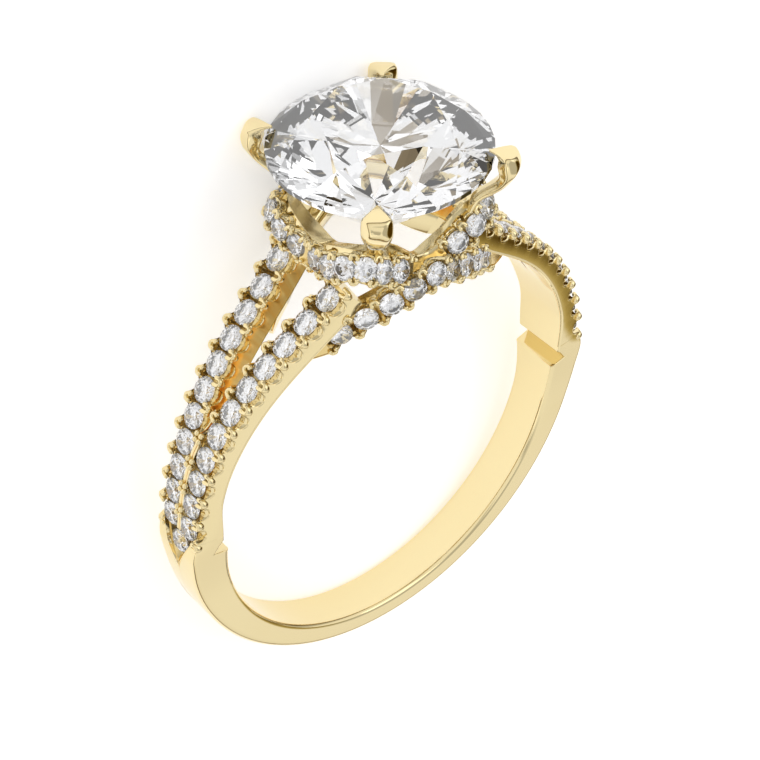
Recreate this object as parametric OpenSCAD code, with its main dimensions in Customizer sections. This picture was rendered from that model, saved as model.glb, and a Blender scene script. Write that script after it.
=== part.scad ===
// Split shank ring: a polished band that divides into two stone-set arms on each
// shoulder, a wavy collar, two arches and four claws round one large round brilliant.
// Ring frame: X across the shoulders, Y along the finger, Z up to the stone, with the
// origin in the middle of the finger hole. lie() turns it on its side, as it rests.

/* [Band] */
// inside diameter of the finger hole, US size 7
hole_d = 17.34; // [15:0.01:21]
// radius of the round outside of the band
band_outer_r = 10.45; // [9.8:0.01:11.5]
// how far the outside is raised above the hole's axis, thinner at the bottom
band_raise = 0.78; // [0:0.01:1.2]
// width of the band at the bottom
band_w = 2.04; // [1.6:0.01:3]
// rounding of the outer edges
band_edge_r = 0.26; // [0.1:0.01:0.4]
// rounding of the edges towards the finger
comfort_r = 0.2; // [0.1:0.01:0.3]
// height of the ledge where the arms step back from the finger
ledge_z = 0.22; // [-0.5:0.01:0.4]

/* [Shoulder arms] */
// angle above the finger axis of the lowest pair of stones
row_low = 10.3; // [6:0.1:14]
// angle above the finger axis of the highest pair of stones
row_high = 70.6; // [66:0.1:74]
// pairs of stones on a shoulder
row_pairs = 11; // [7:1:13]
// radius of the lowest pair
row_r = 10.37; // [10.1:0.01:10.6]
// even growth of the radius up to the top
row_rise = 0.7; // [0.4:0.01:1]
// extra flare of the radius under the collar
row_flare = 0.57; // [0.2:0.01:0.8]
// distance of the lowest pair from the middle plane
row_y = 0.56; // [0.54:0.01:0.7]
// how much further out the highest pair stands
row_spread = 0.99; // [0.6:0.01:1.3]
// half width of an arm outside its row of stones
arm_half = 0.76; // [0.7:0.01:0.85]
// half width of an arm towards the slot
arm_slot_half = 0.72; // [0.68:0.01:0.8]
// depth of an arm from the stones to the finger side
arm_depth = 1; // [0.9:0.01:1.15]
// diameter of a shoulder stone
shoulder_stone_d = 1; // [0.8:0.01:1.02]

/* [Gallery] */
// diameter of a collar stone
collar_stone_d = 0.74; // [0.6:0.01:0.76]
// diameter of an arch stone
arch_stone_d = 0.86; // [0.7:0.01:0.9]
// half height of the collar's outer face
collar_half = 0.6; // [0.5:0.01:0.7]
// thickness of the collar's smooth inner band
petal_t = 0.34; // [0.25:0.01:0.4]
// half width of an arch
arch_half = 0.6; // [0.55:0.01:0.7]
// share of its width that an arch's plain foot loses for each step towards its tip
arch_taper = 0.4; // [0.2:0.01:0.5]
// thickness of an arch behind its stones
arch_t = 0.92; // [0.8:0.01:1]

/* [Main stone] */
// diameter of the round brilliant
stone_d = 8.7; // [7:0.01:10]
// height of its girdle above the finger axis
girdle_z = 15.33; // [15:0.01:16]
// azimuth of the claws from the shoulder line
claw_azimuth = 49.6; // [40:0.1:55]

/* [Fits] */
// clearance between a stone and the metal round it
stone_gap = 0.04; // [0.02:0.01:0.06]

/* [Resting pose] */
// turn from standing to lying on the head's edge and the band's edge
lie_angle = 82.31; // [80:0.01:90]
// height of the finger hole's middle above the floor
lie_lift = 2.272; // [1.5:0.001:3]
// shift along the floor that centres the footprint
lie_shift = 3.613; // [0:0.001:5]

/* [Hidden] */

gold = [0.93, 0.84, 0.62];
clear = [0.93, 0.94, 0.97];
hole_r = hole_d / 2;
stone_r = stone_d / 2;
girdle_t = stone_d * 0.022;
crown_h = stone_d * 0.15;
pavilion_h = stone_d * 0.43;
seat_depth = 0.08;
facets_round = 96;

// one row for each section of a quarter of the collar: x, y, z and the face's upward tilt
COLLAR = [
    [3.60, 0.00, 12.00, 8],
    [3.70, 0.55, 12.10, 8],
    [3.80, 1.48, 12.36, 12],
    [3.62, 2.28, 12.72, 22],
    [3.02, 2.86, 12.72, 26],
    [2.25, 3.10, 12.36, 22],
    [1.38, 3.05, 11.92, 18],
    [0.46, 2.98, 11.50, 15],
    [0.00, 2.94, 11.40, 15]
];

// one row for each section of half an arch, from its crest to its foot: x, y, z, tilt
ARCH = [
    [0.00, 3.50, 11.36, 18],
    [0.98, 3.36, 11.00, 18],
    [1.90, 3.08, 10.56, 20],
    [2.84, 2.70, 10.08, 20],
    [3.70, 2.20, 9.46, 20],
    [4.60, 1.75, 8.92, 20],
    [5.35, 1.35, 8.50, 20]
];

// smooth inner band of the collar, as radius and height of its groove edge and its top edge:
// at a fold over a shoulder, under a claw, and at a fold over an arch
SHOULDER_FOLD = [3.13, 12.05, 2.24, 12.04];
PETAL = [3.58, 13.17, 3.36, 13.30];
ARCH_FOLD = [2.54, 11.65, 2.00, 11.61];
// how steeply each of the four rises from its fold to the claw
SHOULDER_BEND = [1.3, 0.6, 2.5, 2];
ARCH_BEND = [2, 1, 2.5, 2];

// one row for each section of a claw: outer radius and height, inner radius and height,
// half width, half width of the outer facet
CLAW = [
    [3.62, 12.95, 3.40, 13.05, 0.44, 0.34],
    [3.84, 13.36, 3.50, 13.46, 0.42, 0.30],
    [4.02, 13.58, 3.78, 13.80, 0.40, 0.26],
    [4.36, 13.82, 4.12, 14.10, 0.40, 0.24],
    [4.79, 14.20, 4.44, 14.42, 0.46, 0.26],
    [5.12, 14.68, 4.56, 14.72, 0.56, 0.36],
    [5.28, 15.00, 4.52, 15.00, 0.62, 0.42],
    [5.35, 15.29, 4.48, 15.18, 0.64, 0.29],
    [5.22, 15.62, 4.50, 15.38, 0.62, 0.36],
    [5.00, 15.73, 4.50, 15.50, 0.54, 0.48],
    [4.60, 15.78, 4.38, 15.62, 0.29, 0.26],
    [4.14, 15.74, 4.12, 15.66, 0.04, 0.03]
];

function unit(v) = v / norm(v);
function mirrored(p, sx, sy) = [p.x * sx, p.y * sy, p.z];

// row of an arm: s runs from 0 at the lowest pair to 1 at the highest
function row_s(t) = (t - row_low) / (row_high - row_low);
function row_radius(t) = row_r + row_rise * row_s(t) + row_flare * pow(max(row_s(t), 0), 8);
function row_side(t) = t > row_low
    ? row_y + row_spread * pow(row_s(t), 1.8)
    : row_y - 0.26 * pow(min(row_low - t, 12) / row_low, 1.5);
function arm_point(t) = [row_radius(t) * cos(t), row_side(t), row_radius(t) * sin(t)];
function arm_along(t) = unit(arm_point(t + 0.5) - arm_point(t - 0.5));
function arm_out(t) = unit(cross(arm_across(t), arm_along(t)));
function arm_across(t) = unit([0, 1, 0] - ([0, 1, 0] * arm_along(t)) * arm_along(t));
function stone_angle(k) = row_low + (row_high - row_low + 2.7) * k / (row_pairs - 1)
    - 2.7 * pow(k / (row_pairs - 1), 2);

// a section is a list of [across, out] pairs, placed with its own frame
function placed(section, p, across, out) = [for (q = section) p + q[0] * across + q[1] * out];

function arm_section(t) = let (d = arm_depth + 0.12 * (1 - min(max(t, 0), 30) / 30)) [
    [arm_half - 0.12, -0.02],
    [arm_half, -0.14],
    [arm_half, 0.2 - d],
    [arm_half - 0.2, -d],
    [0.2 - arm_slot_half, -d],
    [-arm_slot_half, 0.2 - d],
    [-arm_slot_half, -0.14],
    [0.12 - arm_slot_half, -0.02]
];
function groove_section(r, top) = [
    [r, top],
    [r, -seat_depth - 0.08],
    [0.1, -seat_depth - 0.95 * r],
    [-0.1, -seat_depth - 0.95 * r],
    [-r, -seat_depth - 0.08],
    [-r, top]
];
function blend(a, b, f) = a + (b - a) * f;
function petal(p) = let (a = atan2(abs(p.y), abs(p.x)), over_shoulder = a < claw_azimuth,
    f = over_shoulder ? a / claw_azimuth : (90 - a) / (90 - claw_azimuth),
    fold = over_shoulder ? SHOULDER_FOLD : ARCH_FOLD, bend = over_shoulder ? SHOULDER_BEND : ARCH_BEND)
    [for (k = [0:3]) let (rise = over_shoulder || k > 1 ? sin(90 * f) : f)
        fold[k] + (PETAL[k] - fold[k]) * pow(rise, bend[k])];
function band_edge(p, r, z) = r * unit([p.x, p.y, 0]) + [0, 0, z];
function band_lift(low, top, along) = let (n = unit(cross(along, top - low))) n.z > 0 ? n : -n;
function collar_section(v) = let (at = xyz(collar_at(v)), up = collar_up(v), out = collar_out(v),
    q = petal(at), low = band_edge(at, q[0], q[1]), top = band_edge(at, q[2], q[3]),
    along = cross(out, up), lift = band_lift(low, top, along),
    rim = placed([[collar_half, -0.08], [collar_half, -0.18]], at, up, out)) concat(
        rim,
        [(rim[1] + low) / 2 + 0.35 * cross(along, low - rim[1])],
        [low, top, top - petal_t * 0.65 * lift, blend(low, top, 0.2) - petal_t * lift],
        placed([
            [-0.52, -0.64],
            [-collar_half, -0.5],
            [-collar_half, -0.08],
            [-collar_half + 0.12, 0],
            [collar_half - 0.12, 0]
        ], at, up, out)
    );
function arch_section(v) = let (w = arch_half * (1 - arch_taper * max(abs(v) - 4.5, 0))) [
    [w, -0.1],
    [w, 0.2 - arch_t],
    [w - 0.2, -arch_t],
    [0.2 - w, -arch_t],
    [-w, 0.2 - arch_t],
    [-w, -0.1],
    [0.12 - w, 0],
    [w - 0.12, 0]
];

// whole collar from its quarter table, with one station between rows
function collar_row(i) = let (n = len(COLLAR) - 1, q = floor(i / n), k = i % n)
    q == 0 ? COLLAR[k]
    : q == 1 ? [-COLLAR[n - k].x, COLLAR[n - k].y, COLLAR[n - k].z, COLLAR[n - k][3]]
    : q == 2 ? [-COLLAR[k].x, -COLLAR[k].y, COLLAR[k].z, COLLAR[k][3]]
    : [COLLAR[n - k].x, -COLLAR[n - k].y, COLLAR[n - k].z, COLLAR[n - k][3]];
collar_rows = 4 * (len(COLLAR) - 1);
function around(i) = collar_row((i + 2 * collar_rows) % collar_rows);
function xyz(r) = [r[0], r[1], r[2]];
function smooth(a, b, c, d, f) = b + f / 2 * (c - a) + f * f * (a - 2.5 * b + 2 * c - 0.5 * d)
    + f * f * f * (-0.5 * a + 1.5 * b - 1.5 * c + 0.5 * d);
function collar_at(v) = let (i = floor(v), f = v - i)
    smooth(around(i - 1), around(i), around(i + 1), around(i + 2), f);
function collar_along(v) = unit(xyz(collar_at(v + 0.1)) - xyz(collar_at(v - 0.1)));
function collar_out(v) = let (a = collar_along(v), h = unit([a.y, -a.x, 0]), e = collar_at(v)[3],
    n = cos(e) * h + sin(e) * [0, 0, 1]) unit(n - (n * a) * a);
function collar_up(v) = cross(collar_out(v), collar_along(v));

function arch_row(i) = ARCH[min(abs(i), len(ARCH) - 1)];
function arch_place(i) = [arch_row(i)[0] * (i < 0 ? -1 : 1), arch_row(i)[1], arch_row(i)[2], arch_row(i)[3]];
function arch_at(v) = let (i = floor(v), f = v - i)
    smooth(arch_place(i - 1), arch_place(i), arch_place(i + 1), arch_place(i + 2), f);
function arch_along(v) = unit(xyz(arch_at(v + 0.1)) - xyz(arch_at(v - 0.1)));
function arch_out(v) = let (a = arch_along(v), e = arch_at(v)[3],
    n = [0, cos(e), sin(e)]) unit(n - (n * a) * a);
function arch_up(v) = cross(arch_along(v), arch_out(v));

function claw_section(r) = let (out = [r[0], 0, r[1]], in = [r[2], 0, r[3]], mid = blend(out, in, 0.45),
    side = [0, 1, 0]) [out + r[5] * side, mid + r[4] * side, in + r[4] * 0.6 * side,
    in - r[4] * 0.6 * side, mid - r[4] * side, out - r[5] * side];

function total(v) = [for (i = v) 1] * v;
function middle(ring) = total(ring) / len(ring);
function facing(ring) = total([for (i = [1:len(ring) - 2]) cross(ring[i] - ring[0], ring[i + 1] - ring[0])]);
function turned(ring) = [for (i = [len(ring) - 1:-1:0]) ring[i]];

// skin through rings of points: closed end to end, or capped at both ends
module skin(given, closed = false) {
    forward = facing(given[0]) * (middle(given[1]) - middle(given[0])) > 0;
    rings = forward ? [for (r = given) turned(r)] : given;
    n = len(rings[0]);
    m = len(rings);
    last = closed ? m - 1 : m - 2;
    sides = [for (j = [0:last]) for (i = [0:n - 1]) let (a = j * n, b = ((j + 1) % m) * n, k = (i + 1) % n)
        each [[a + i, a + k, b + k], [a + i, b + k, b + i]]];
    ends = closed ? [] : [[for (i = [0:n - 1]) n - 1 - i], [for (i = [0:n - 1]) (m - 1) * n + i]];
    polyhedron(points = [for (r = rings) each r], faces = concat(sides, ends));
}

module quarters() {
    for (sx = [0, 1]) for (sy = [0, 1]) mirror([sx, 0, 0]) mirror([0, sy, 0]) children();
}

module band() {
    w = band_w / 2;
    e = band_edge_r;
    c = comfort_r;
    difference() {
        translate([0, 0, band_raise]) rotate([90, 0, 0]) rotate_extrude($fn = facets_round) union() {
            translate([6, -w + e]) square([band_outer_r - 6, band_w - 2 * e]);
            translate([6, -w]) square([band_outer_r - 6 - e, band_w]);
            for (s = [-1, 1]) translate([band_outer_r - e, s * (w - e)]) circle(r = e, $fn = 32);
        }
        rotate([90, 0, 0]) rotate_extrude($fn = facets_round) difference() {
            translate([0, -2]) square([hole_r + c, 4]);
            translate([hole_r, -w + c]) square([2, band_w - 2 * c]);
            for (s = [-1, 1]) translate([hole_r + c, s * (w - c)]) circle(r = c, $fn = 32);
        }
        translate([-15, -5, 1]) cube([30, 10, 15]);
    }
}

module arm() {
    skin([for (t = [-8:4:row_high + 1.5]) placed(arm_section(t), arm_point(t), arm_across(t), arm_out(t))]);
}

module arm_groove() {
    r = shoulder_stone_d / 2 + stone_gap;
    skin([for (k = [0:16]) let (t = row_low - 3.2 + (row_high - row_low + 6.4) * k / 16)
        placed(groove_section(r, 0.4), arm_point(t), arm_across(t), arm_out(t))]);
}

module shoulder_tip() {
    r = shoulder_stone_d / 2 + stone_gap;
    t = row_low - 6;
    rr = row_radius(t);
    rotate([0, -t, 0]) translate([rr, 0, 0]) rotate([0, 90, 0]) {
        translate([0, 0, -seat_depth - 0.95 * r]) cylinder(h = 0.95 * r - 0.08, r1 = 0.1, r2 = r, $fn = 48);
        translate([0, 0, -seat_depth - 0.08]) cylinder(h = 1, r = r, $fn = 48);
    }
    rotate([90, 0, 90]) translate([0, 0, row_r - 0.2]) linear_extrude(height = 1)
        polygon([[0, -0.7], [0.62, 0.9], [0.75, 2.2], [-0.75, 2.2], [-0.62, 0.9]]);
}

module ledge_notch() {
    rotate([90, 0, 0]) translate([0, 0, -3]) linear_extrude(height = 6) polygon([
        [hole_r - 1, ledge_z],
        [hole_r + 0.25, ledge_z],
        [hole_r + 0.85, ledge_z + 0.2],
        [hole_r + 0.45, ledge_z + 0.78],
        [hole_r + 0.45, ledge_z + 1.13],
        [hole_r - 1, ledge_z + 1.13]
    ]);
}

module collar() {
    step = 0.5;
    skin([for (v = [0:step:collar_rows - step]) collar_section(v)], true);
}

module collar_groove() {
    r = collar_stone_d / 2 + stone_gap;
    skin([for (k = [0:12]) let (v = 0.3 + 0.525 * k)
        placed(groove_section(r, 0.4), xyz(collar_at(v)), collar_up(v), collar_out(v))]);
}

module arch() {
    n = len(ARCH) - 1;
    skin([for (v = [-n:0.5:n]) placed(arch_section(v), xyz(arch_at(v)), arch_up(v), arch_out(v))]);
}

module arch_groove() {
    r = arch_stone_d / 2 + stone_gap;
    skin([for (v = [-4.5:0.5:4.5]) placed(groove_section(r, 0.4), xyz(arch_at(v)), arch_up(v), arch_out(v))]);
}

module claw() {
    rotate([0, 0, claw_azimuth]) skin([for (row = CLAW) claw_section(row)]);
}

// collar with its claws, joined two opposite claws at a time
module head() {
    union() {
        union() {
            collar();
            claw();
            mirror([1, 0, 0]) mirror([0, 1, 0]) claw();
        }
        union() {
            mirror([1, 0, 0]) claw();
            mirror([0, 1, 0]) claw();
        }
    }
}

// outline of the main stone, grown by the clearance
module stone_room() {
    g = stone_gap;
    translate([0, 0, girdle_z]) rotate_extrude($fn = facets_round) polygon([
        [0, -girdle_t / 2 - pavilion_h - g],
        [stone_r + g, -girdle_t / 2 - g],
        [stone_r + g, girdle_t / 2 + g],
        [stone_r * 0.57 + g, girdle_t / 2 + crown_h + g],
        [0, girdle_t / 2 + crown_h + g]
    ]);
}

module mount() {
    difference() {
        union() {
            head();
            for (s = [0, 1]) mirror([0, s, 0]) arch();
            band();
            quarters() arm();
        }
        quarters() {
            arm_groove();
            collar_groove();
        }
        for (s = [0, 1]) mirror([0, s, 0]) arch_groove();
        for (s = [0, 1]) mirror([s, 0, 0]) {
            ledge_notch();
            shoulder_tip();
        }
        stone_room();
    }
}

// round brilliant: table, 8 stars, 8 kites, 16 upper and 16 lower halves, 8 mains
module brilliant(d) {
    r = d / 2;
    t = d * 0.022;
    table_r = r * 0.57;
    star_r = (table_r * cos(22.5) + r) / 2;
    crown = d * 0.15;
    pav = d * 0.43;
    low_r = r * 0.25;
    star_z = t / 2 + crown * (r - star_r * cos(22.5)) / (r - table_r);
    low_z = -t / 2 - pav * (r - low_r * cos(22.5)) / r;
    pts = concat(
        [for (k = [0:7]) [table_r * cos(45 * k), table_r * sin(45 * k), t / 2 + crown]],
        [for (k = [0:7]) [star_r * cos(45 * k + 22.5), star_r * sin(45 * k + 22.5), star_z]],
        [for (k = [0:31]) [r * cos(11.25 * k), r * sin(11.25 * k), t / 2]],
        [for (k = [0:31]) [r * cos(11.25 * k), r * sin(11.25 * k), -t / 2]],
        [for (k = [0:7]) [low_r * cos(45 * k + 22.5), low_r * sin(45 * k + 22.5), low_z]],
        [[0, 0, -t / 2 - pav]]
    );
    T = 0;
    S = 8;
    G = 16;
    H = 48;
    L = 80;
    C = 88;
    faces = concat(
        [[for (k = [0:7]) T + 7 - k]],
        [for (k = [0:7]) [T + k, T + (k + 1) % 8, S + k]],
        [for (k = [0:7]) each [[T + k, S + k, G + 4 * k], [T + k, G + 4 * k, S + (k + 7) % 8]]],
        [for (k = [0:7]) for (j = [0:3]) [S + k, G + (4 * k + j + 1) % 32, G + 4 * k + j]],
        [for (k = [0:31]) let (n = (k + 1) % 32) each [[G + k, G + n, H + n], [G + k, H + n, H + k]]],
        [for (k = [0:7]) for (j = [0:3]) [L + k, H + 4 * k + j, H + (4 * k + j + 1) % 32]],
        [for (k = [0:7]) each [[C, H + 4 * k, L + k], [C, L + (k + 7) % 8, H + 4 * k]]]
    );
    polyhedron(points = pts, faces = faces);
}

// small stone: table, 8 crown facets, 8 pavilion facets
module small_stone(d) {
    r = d / 2;
    t = d * 0.05;
    pts = concat(
        [for (k = [0:7]) [0.6 * r * cos(45 * k), 0.6 * r * sin(45 * k), t / 2 + 0.3 * r]],
        [for (k = [0:7]) [r * cos(45 * k), r * sin(45 * k), t / 2]],
        [for (k = [0:7]) [r * cos(45 * k), r * sin(45 * k), -t / 2]],
        [[0, 0, -t / 2 - 0.84 * r]]
    );
    faces = concat(
        [[for (k = [0:7]) 7 - k]],
        [for (k = [0:7]) for (j = [0, 8]) let (n = (k + 1) % 8)
            each [[j + k, j + n, j + 8 + n], [j + k, j + 8 + n, j + 8 + k]]],
        [for (k = [0:7]) [24, 16 + k, 16 + (k + 1) % 8]]
    );
    polyhedron(points = pts, faces = faces);
}

// puts a stone with its girdle a little under the face, its axis along out
module set_at(p, across, out) {
    along = cross(out, across);
    q = p - seat_depth * out;
    multmatrix([
        [across.x, along.x, out.x, q.x],
        [across.y, along.y, out.y, q.y],
        [across.z, along.z, out.z, q.z],
        [0, 0, 0, 1]
    ]) children();
}

module centre_stone() {
    translate([0, 0, girdle_z]) brilliant(stone_d);
}

module shoulder_stones() {
    for (sy = [0, 1]) mirror([0, sy, 0]) for (k = [0:row_pairs - 1]) let (t = stone_angle(k))
        set_at(arm_point(t), arm_across(t), arm_out(t)) small_stone(shoulder_stone_d);
    rotate([0, 6 - row_low, 0]) set_at([row_radius(row_low - 6), 0, 0], [0, 1, 0], [1, 0, 0])
        small_stone(shoulder_stone_d);
}

module collar_stones() {
    quarters() for (v = [1:6])
        set_at(xyz(collar_at(v)), collar_up(v), collar_out(v)) small_stone(collar_stone_d);
}

module arch_stones() {
    for (v = [-4:4]) set_at(xyz(arch_at(v)), arch_up(v), arch_out(v)) small_stone(arch_stone_d);
}

module lie() {
    translate([0, lie_shift, lie_lift]) rotate([lie_angle, 0, 0]) rotate([0, 0, 180]) children();
}

color(gold) lie() mount();
color(clear) lie() centre_stone();
color(clear) lie() mirror([1, 0, 0]) shoulder_stones();  // left_shoulder_stones
color(clear) lie() shoulder_stones();  // right_shoulder_stones
color(clear) lie() collar_stones();
color(clear) lie() mirror([0, 1, 0]) arch_stones();  // front_arch_stones
color(clear) lie() arch_stones();  // back_arch_stones
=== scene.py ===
import bpy
import bmesh
import math
from mathutils import Matrix, Vector


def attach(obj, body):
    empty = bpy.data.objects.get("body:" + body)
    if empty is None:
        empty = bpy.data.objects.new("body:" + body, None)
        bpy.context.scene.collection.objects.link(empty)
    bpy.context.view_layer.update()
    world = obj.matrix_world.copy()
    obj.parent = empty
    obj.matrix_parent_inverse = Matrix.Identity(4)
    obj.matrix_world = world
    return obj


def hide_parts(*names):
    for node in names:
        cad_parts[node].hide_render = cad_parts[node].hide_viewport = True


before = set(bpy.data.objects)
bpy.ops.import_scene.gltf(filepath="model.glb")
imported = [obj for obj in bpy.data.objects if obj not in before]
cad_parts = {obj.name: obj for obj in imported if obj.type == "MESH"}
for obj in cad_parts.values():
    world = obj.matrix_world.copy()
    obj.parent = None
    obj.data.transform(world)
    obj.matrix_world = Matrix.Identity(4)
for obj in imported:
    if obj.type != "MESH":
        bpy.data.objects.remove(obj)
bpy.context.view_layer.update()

# The gold: 18 carat yellow gold, polished where a buff reaches, brushed in the slots, satin on
# the collar's inner band and rougher in the seats under the small stones. The slots' gold is
# also painted a deep amber, a painted reflection of the gold walls in one another, and the
# seats' gold is painted darker, a painted shade under the stones. One group holds the
# polishing marks and the slight change of tone that all four finishes share.
rad = math.radians
# The ring's sizes are in millimetres with X across the shoulders, Y along the finger and Z up
# to the main stone, from the middle of the finger hole. LIE lays them on the floor in metres,
# like the part. HOLE_PLACE, the shaders, the lamps and the floor are in metres already.
HOLE_PLACE, LIE_ANGLE = (0, 0.003613, 0.002272), 82.31
LIE = (Matrix.Translation(HOLE_PLACE) @ Matrix.Rotation(rad(LIE_ANGLE), 4, "X")
       @ Matrix.Rotation(math.pi, 4, "Z") @ Matrix.Scale(0.001, 4))
BRUSHED_R, MARK_HEIGHT = 0.0105, 0.00001
polish = bpy.data.node_groups.new("Polish", "ShaderNodeTree")
for title, kind, value in (
        ("Colour", "NodeSocketColor", (0.8, 0.7, 0.4, 1)),
        ("Deep colour", "NodeSocketColor", (0.7, 0.5, 0.2, 1)),
        ("Roughness", "NodeSocketFloat", 0.1),
        ("Spread", "NodeSocketFloat", 0.03),
        ("Relief", "NodeSocketFloat", 0.02),
        ("Tone size", "NodeSocketFloat", 180.0),
        ("Mark size", "NodeSocketFloat", 2600.0),
        ("Brushing", "NodeSocketFloat", 0.0),
        ("Stretch", "NodeSocketVector", (1, 1, 1))):
    polish.interface.new_socket(title, in_out="INPUT", socket_type=kind).default_value = value
for title, kind in (
        ("Colour", "NodeSocketColor"),
        ("Roughness", "NodeSocketFloat"),
        ("Normal", "NodeSocketVector")):
    polish.interface.new_socket(title, in_out="OUTPUT", socket_type=kind)
nodes, link = polish.nodes, polish.links.new
given, result = nodes.new("NodeGroupInput"), nodes.new("NodeGroupOutput")
place = nodes.new("ShaderNodeTexCoord")
# brushing runs in towards the finger, so its marks follow the angle round the finger axis
from_axis = nodes.new("ShaderNodeVectorMath")
from_axis.operation = "SUBTRACT"
from_axis.inputs[1].default_value = HOLE_PLACE
link(place.outputs["Object"], from_axis.inputs[0])
legs = []
laid_x, laid_y, laid_z = LIE.to_3x3().normalized().col
for way in (laid_x, laid_z, laid_y):
    leg = nodes.new("ShaderNodeVectorMath")
    leg.operation = "DOT_PRODUCT"
    leg.inputs[1].default_value = way
    link(from_axis.outputs[0], leg.inputs[0])
    legs.append(leg.outputs["Value"])
angle, arc = nodes.new("ShaderNodeMath"), nodes.new("ShaderNodeMath")
angle.operation, arc.operation = "ARCTAN2", "MULTIPLY"
arc.inputs[1].default_value = BRUSHED_R
link(legs[0], angle.inputs[0])
link(legs[1], angle.inputs[1])
link(angle.outputs[0], arc.inputs[0])
round_finger, layout = nodes.new("ShaderNodeCombineXYZ"), nodes.new("ShaderNodeMix")
link(arc.outputs[0], round_finger.inputs["X"])
link(legs[2], round_finger.inputs["Y"])
layout.data_type = "VECTOR"
link(given.outputs["Brushing"], layout.inputs["Factor"])
link(place.outputs["Object"], layout.inputs[4])
link(round_finger.outputs[0], layout.inputs[5])
stretch = nodes.new("ShaderNodeVectorMath")
stretch.operation = "MULTIPLY"
link(layout.outputs[1], stretch.inputs[0])
link(given.outputs["Stretch"], stretch.inputs[1])
tone, marks = nodes.new("ShaderNodeTexNoise"), nodes.new("ShaderNodeTexNoise")
marks.inputs["Detail"].default_value = 3
for noise, size in ((tone, "Tone size"), (marks, "Mark size")):
    link(stretch.outputs[0], noise.inputs["Vector"])
    link(given.outputs[size], noise.inputs["Scale"])
colour = nodes.new("ShaderNodeMix")
colour.data_type = "RGBA"
link(tone.outputs["Fac"], colour.inputs["Factor"])
link(given.outputs["Colour"], colour.inputs[6])
link(given.outputs["Deep colour"], colour.inputs[7])
link(colour.outputs[2], result.inputs["Colour"])
rough = nodes.new("ShaderNodeMath")
rough.operation = "MULTIPLY_ADD"
link(marks.outputs["Fac"], rough.inputs[0])
link(given.outputs["Spread"], rough.inputs[1])
link(given.outputs["Roughness"], rough.inputs[2])
link(rough.outputs[0], result.inputs["Roughness"])
bump = nodes.new("ShaderNodeBump")
bump.inputs["Distance"].default_value = MARK_HEIGHT
link(given.outputs["Relief"], bump.inputs["Strength"])
link(marks.outputs["Fac"], bump.inputs["Height"])
link(bump.outputs["Normal"], result.inputs["Normal"])


def gold(name, **values):
    """Gold with the Polish group's inputs set by name, with _ for a space."""
    m = bpy.data.materials.new(name)
    m.use_nodes = True
    base = m.node_tree.nodes["Principled BSDF"]
    base.inputs["Metallic"].default_value = 1.0
    look = m.node_tree.nodes.new("ShaderNodeGroup")
    look.node_tree = polish
    for key, value in values.items():
        look.inputs[key.replace("_", " ")].default_value = value
    for source, target in (("Colour", "Base Color"), ("Roughness", "Roughness"), ("Normal", "Normal")):
        m.node_tree.links.new(look.outputs[source], base.inputs[target])
    return m


polished = gold("polished_gold", Colour=(0.86, 0.73, 0.43, 1), Deep_colour=(0.83, 0.69, 0.38, 1),
                Roughness=0.09, Spread=0.03)
# brushed gold, painted a deep amber that mottles with its tone: a painted reflection of the slot walls' gold
# in one another
brushed_with_painted_reflection = gold("brushed_gold_painted_reflection", Colour=(1.0, 0.86, 0.42, 1), Deep_colour=(1.0, 0.50, 0.06, 1),
               Roughness=0.24, Spread=0.14, Relief=0.5, Tone_size=3200.0, Mark_size=5200.0,
               Brushing=1.0, Stretch=(1, 0.3, 1))
satin = gold("satin_gold", Colour=(0.86, 0.73, 0.43, 1), Deep_colour=(0.83, 0.68, 0.36, 1),
             Roughness=0.24, Spread=0.05)
# seat gold, painted darker and browner than the polished gold: painted shade in the seats under the stones
seat_gold_painted_shade = gold("seat_gold_painted_shade", Colour=(0.84, 0.68, 0.35, 1), Deep_colour=(0.76, 0.56, 0.22, 1),
                 Roughness=0.16, Spread=0.06, Relief=0.1)

# The hoop: a plain polished band that splits on each shoulder into two arms, cast in one with
# the rest of the gold. The arms step back from the finger at a ledge, and their outer face is
# cut to a channel with scalloped walls that holds the stones.
HOLE_R = 8.67
BAND_R, BAND_RAISE, BAND_W = 10.45, 0.78, 2.04
ARM_HALF, ARM_SLOT_HALF, ARM_DEPTH = 0.76, 0.72, 1.0
# degrees round the hoop from the band's widest point: the rows' first and last stone, where
# their channel ends, where the arms part and the single stone at the tip of the V
ROW_LOW, ROW_HIGH, ROW_END = 10.3, 70.6, 72.2
SPLIT_T, TIP_T = 9.0, 4.3
# the rows' radius and distance from the middle plane at the first stone, what is added to them
# above it, and how much closer the rows come below it
ROW_R, ROW_RISE, ROW_FLARE = 10.37, 0.7, 0.57
ROW_Y, ROW_SPREAD, ROW_CLOSE = 0.56, 0.99, 0.26
ROW_STONES, STEP_CHANGE = 11, 2.7
# the channel: how far its rim lies under the rows' radius, how wide it is and how deep
RIM_DROP, RIM_W, SEAT_DEPTH, CHANNEL_DEPTH, BRIDGE_H = 0.02, 0.12, 0.17, 0.60, 0.52
SCALLOP_HALF, SCALLOP_DEPTH, NOTCH_HALF, NOTCH_DEPTH = 0.33, 0.42, 0.05, 0.07
# the V: where it begins, the degrees in which it reaches its depth and what it widens by each
V_FROM, V_SPAN, V_WIDENS = -3.6, 7.5, 0.085
# the outer and the finger side's rounded edges, on the band and on the arms
EDGE_BAND, EDGE_ARM, COMFORT_BAND, COMFORT_ARM = 0.26, 0.07, 0.20, 0.09
# the arms' outer walls curve in, most at the rim; the depths are where a section has points
BOW, BOW_HEIGHT = 0.13, 0.93
BOW_AT = (0.96, 0.80, 0.62, 0.36, 0.0)
# degrees round the hoop and the finger side's radius down the ledge and its undercut
LEDGE = [(1.5, HOLE_R), (2.45, 9.40), (4.96, 9.15), (6.3, 8.99)]


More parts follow.
